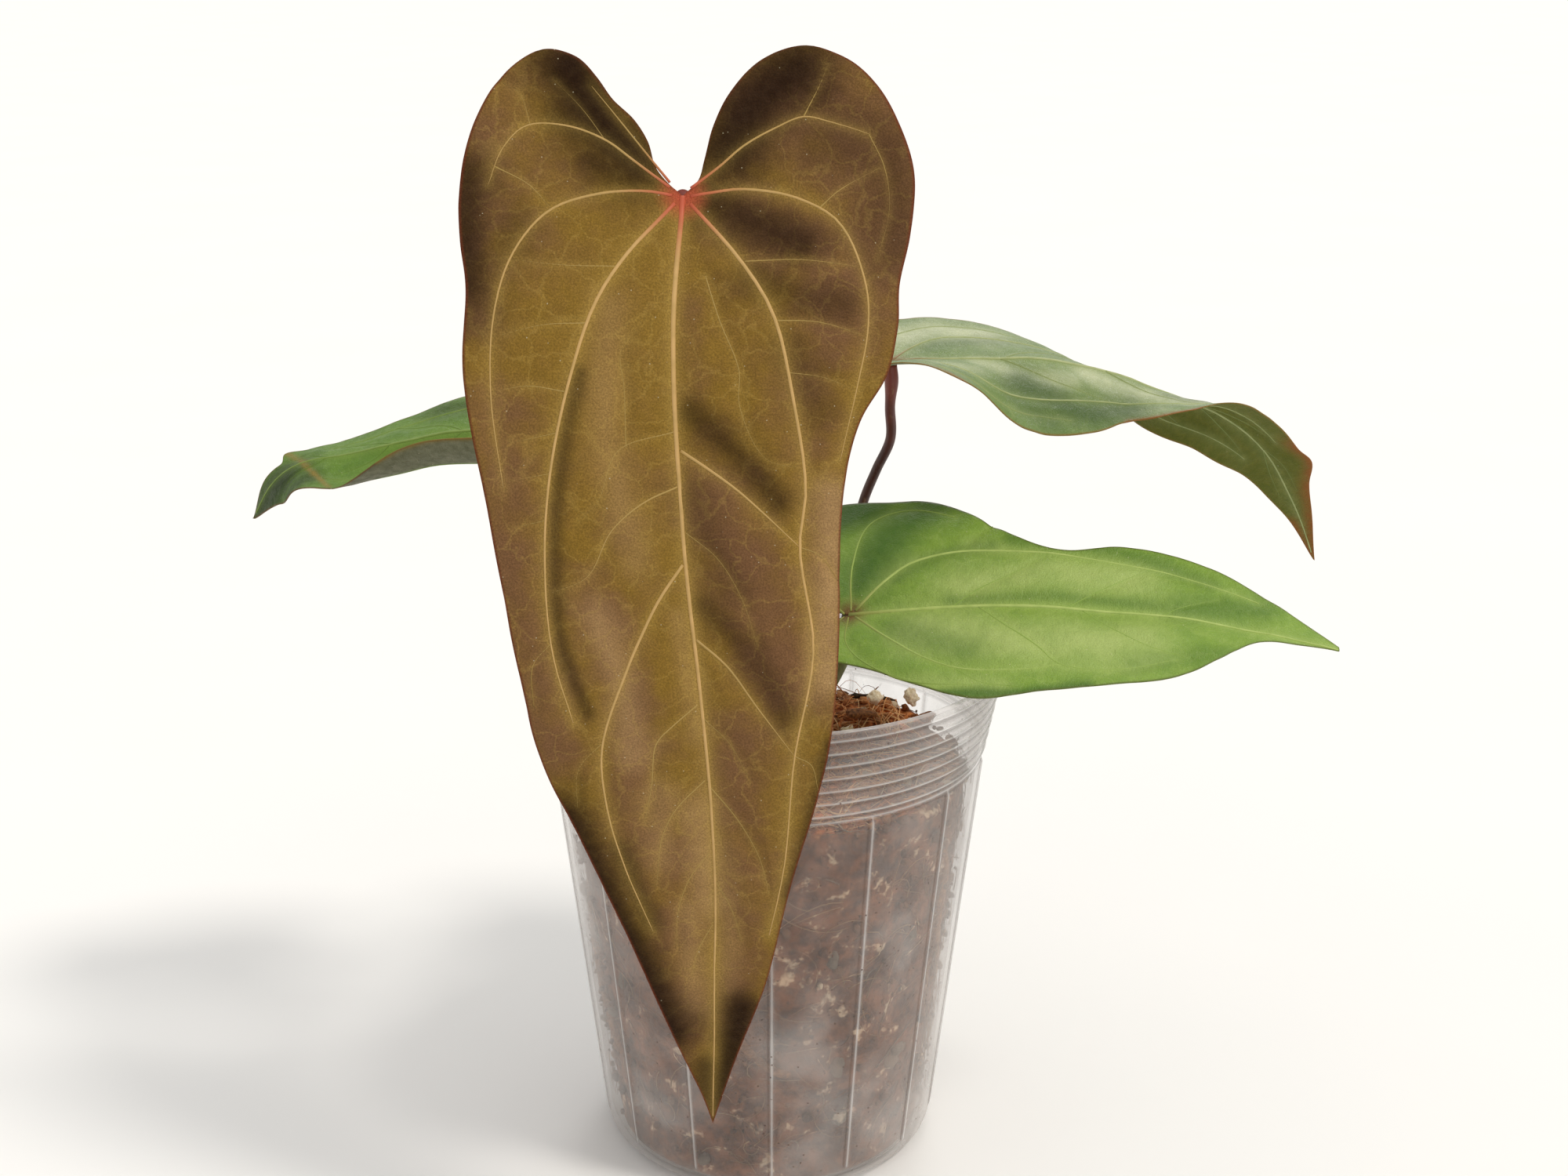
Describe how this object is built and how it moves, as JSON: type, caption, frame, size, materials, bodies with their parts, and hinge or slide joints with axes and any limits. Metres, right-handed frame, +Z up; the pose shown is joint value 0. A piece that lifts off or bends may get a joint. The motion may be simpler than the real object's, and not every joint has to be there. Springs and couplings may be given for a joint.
{
  "type": "potted anthurium",
  "caption": "Young velvet-leaf anthurium with long heart-shaped bronze and green leaves on thin stalks, growing in coir mix in a clear ribbed nursery pot.",
  "frame": {"origin": "centre of the pot's flat underside", "axes": "+Z up; the long bronze leaf hangs on the -Y side, and the low green leaf points towards +X"},
  "size_m": [0.2443, 0.1229, 0.2452],
  "materials": {
    "bronze_leaf": "velvety, matt, olive bronze with pale peach veins",
    "green_leaf": "satin green with paler veins",
    "maroon_stalk": "smooth, dark maroon brown",
    "green_stalk": "smooth, olive green",
    "crown": "dry brown fibre and bark",
    "clear_plastic": "clear thin plastic, slightly milky, dusty",
    "coir_mix": "rough brown coir fibre with dark gaps",
    "root": "felted tan root",
    "perlite": "chalky off-white lump",
    "twig": "dry dark bark"
  },
  "bodies": {
    "root": {"bract_back": "crown", "bract_front": "crown", "bronze_leaf_blade": "bronze_leaf", "bronze_leaf_stalk": "maroon_stalk", "coir_chip_1": "coir_mix", "coir_chip_2": "coir_mix", "coir_chip_3": "coir_mix", "coir_chip_4": "coir_mix", "coir_chip_5": "coir_mix", "drooping_green_leaf_blade": "green_leaf", "drooping_green_leaf_stalk": "maroon_stalk", "left_green_leaf_blade": "green_leaf", "left_green_leaf_stalk": "maroon_stalk", "low_green_leaf_blade": "green_leaf", "low_green_leaf_stalk": "green_stalk", "perlite_1": "perlite", "perlite_2": "perlite", "perlite_3": "perlite", "perlite_4": "perlite", "perlite_5": "perlite", "perlite_6": "perlite", "pot": "clear_plastic", "potting_mix": "coir_mix", "root_back": "root", "root_front": "root", "root_left": "root", "root_right": "root", "stem": "crown", "twig": "twig"}
  },
  "joints": []
}
